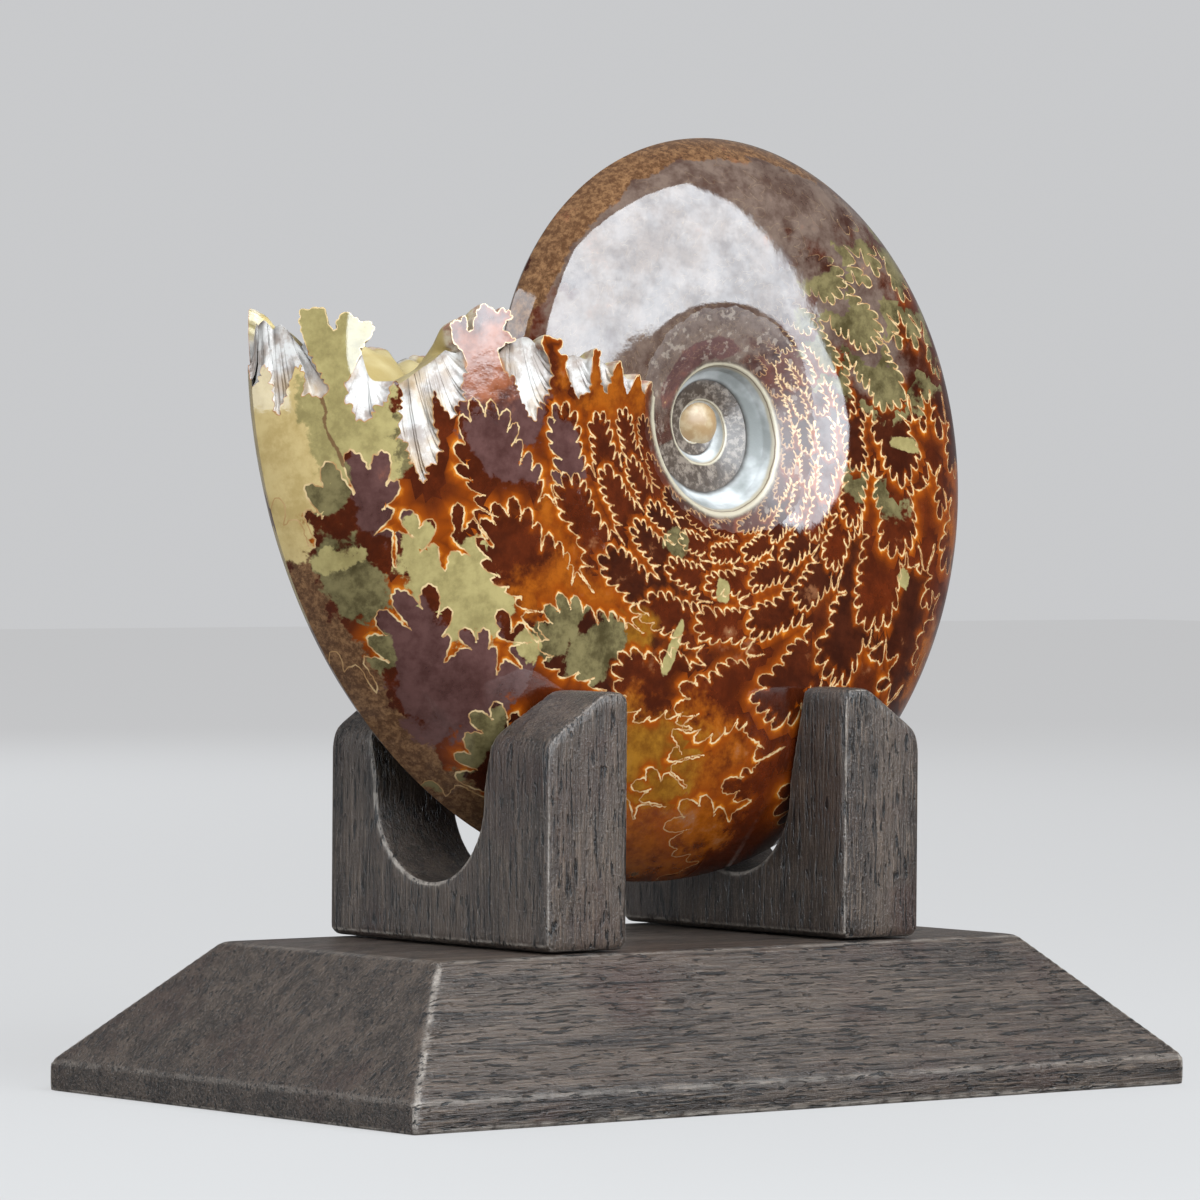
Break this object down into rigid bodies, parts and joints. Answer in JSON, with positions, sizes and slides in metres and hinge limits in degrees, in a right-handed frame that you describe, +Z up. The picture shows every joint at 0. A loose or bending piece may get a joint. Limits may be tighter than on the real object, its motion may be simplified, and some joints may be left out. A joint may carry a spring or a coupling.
{
  "type": "ammonite fossil on stand",
  "caption": "Polished spiral ammonite fossil with frilled suture pattern, resting in notched brackets on a chamfered black wooden stand.",
  "frame": {"origin": "middle of the board's underside", "axes": "+X along the board, towards the shell's rounded end, +Y away from the viewer, +Z up"},
  "size_m": [0.164, 0.098, 0.1584],
  "materials": {
    "wood": "black stained, worn satin",
    "fossil": "polished mineral"
  },
  "bodies": {
    "root": {"base": "wood", "bracket_left": "wood", "bracket_right": "wood", "ammonite": "fossil"}
  },
  "joints": []
}
